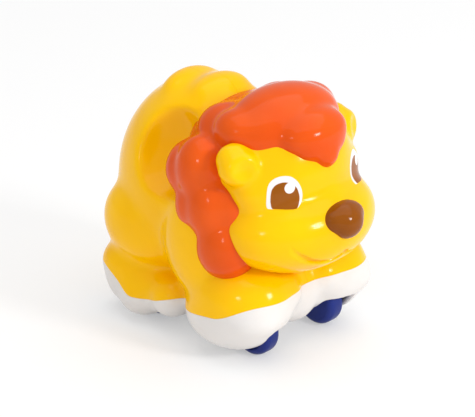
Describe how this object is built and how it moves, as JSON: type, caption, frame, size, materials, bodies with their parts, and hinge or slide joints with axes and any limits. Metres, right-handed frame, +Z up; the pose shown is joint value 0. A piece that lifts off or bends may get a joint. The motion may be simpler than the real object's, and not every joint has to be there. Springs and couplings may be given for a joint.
{
  "type": "wind-up lion toy",
  "caption": "Moulded plastic lion on wheels with an orange mane, a brown nose and a white base, driven by a pull-back spring motor inside.",
  "frame": {"origin": "on the floor that the wheels stand on, under the middle of the toy's box", "axes": "+Z is up, the lion faces and rolls forward along -Y, and +X is the lion's left side"},
  "size_m": [0.0764, 0.1087, 0.0986],
  "materials": {
    "yellow_plastic": "glossy moulded plastic, yellow right through",
    "orange_plastic": "glossy moulded plastic, orange red right through",
    "brown_plastic": "glossy moulded plastic, warm brown",
    "white_plastic": "satin to glossy moulded plastic, warm white",
    "blue_plastic": "smooth moulded plastic, deep blue",
    "black_rubber": "dull black rubber band",
    "grey_plastic": "plain grey moulded plastic",
    "brass_metal": "cut brass",
    "steel_metal": "plain drawn and rolled steel"
  },
  "bodies": {
    "body": {"body_shell_right": "yellow_plastic", "body_shell_left": "yellow_plastic", "face_shell": "yellow_plastic", "mane": "orange_plastic", "nose": "brown_plastic", "chassis": "white_plastic", "front_axle_keeper": "white_plastic", "motor_case_right": "grey_plastic", "motor_case_left": "grey_plastic", "idler_pin": "steel_metal", "mainspring": "steel_metal", "motor_screw_1": "steel_metal", "motor_screw_2": "steel_metal", "keeper_screw_1": "steel_metal", "keeper_screw_2": "steel_metal", "base_screw_1": "steel_metal", "base_screw_2": "steel_metal", "base_screw_3": "steel_metal", "base_screw_4": "steel_metal", "face_screw_1": "steel_metal", "face_screw_2": "steel_metal"},
    "front_wheelset": {"front_axle": "steel_metal", "front_wheel_right": "blue_plastic", "front_wheel_left": "blue_plastic"},
    "rear_wheelset": {"rear_axle": "steel_metal", "rear_wheel_right": "blue_plastic", "rear_wheel_left": "blue_plastic", "rear_tyre_right": "black_rubber", "rear_tyre_left": "black_rubber", "drive_pinion": "brass_metal"},
    "idler": {"idler_gear": "white_plastic"},
    "barrel": {"barrel_gear": "white_plastic"}
  },
  "joints": [
    {"name": "rear_wheels_roll", "type": "hinge", "parent": "body", "child": "rear_wheelset", "pos_m": [0, 0.028, 0.009], "axis": [1, 0, 0], "continuous": true},
    {"name": "front_wheels_roll", "type": "hinge", "parent": "body", "child": "front_wheelset", "pos_m": [0, -0.022, 0.009], "axis": [1, 0, 0], "continuous": true},
    {"name": "idler_turn", "type": "hinge", "parent": "body", "child": "idler", "pos_m": [0, 0.02345, 0.02149], "axis": [1, 0, 0], "continuous": true},
    {"name": "barrel_turn", "type": "hinge", "parent": "body", "child": "barrel", "pos_m": [0, 0.0091, 0.02402], "axis": [1, 0, 0], "continuous": true}
  ],
  "couplings": [
    {"joint": "idler_turn", "follows": "rear_wheels_roll", "ratio": -0.40909},
    {"joint": "barrel_turn", "follows": "rear_wheels_roll", "ratio": 0.14727}
  ]
}
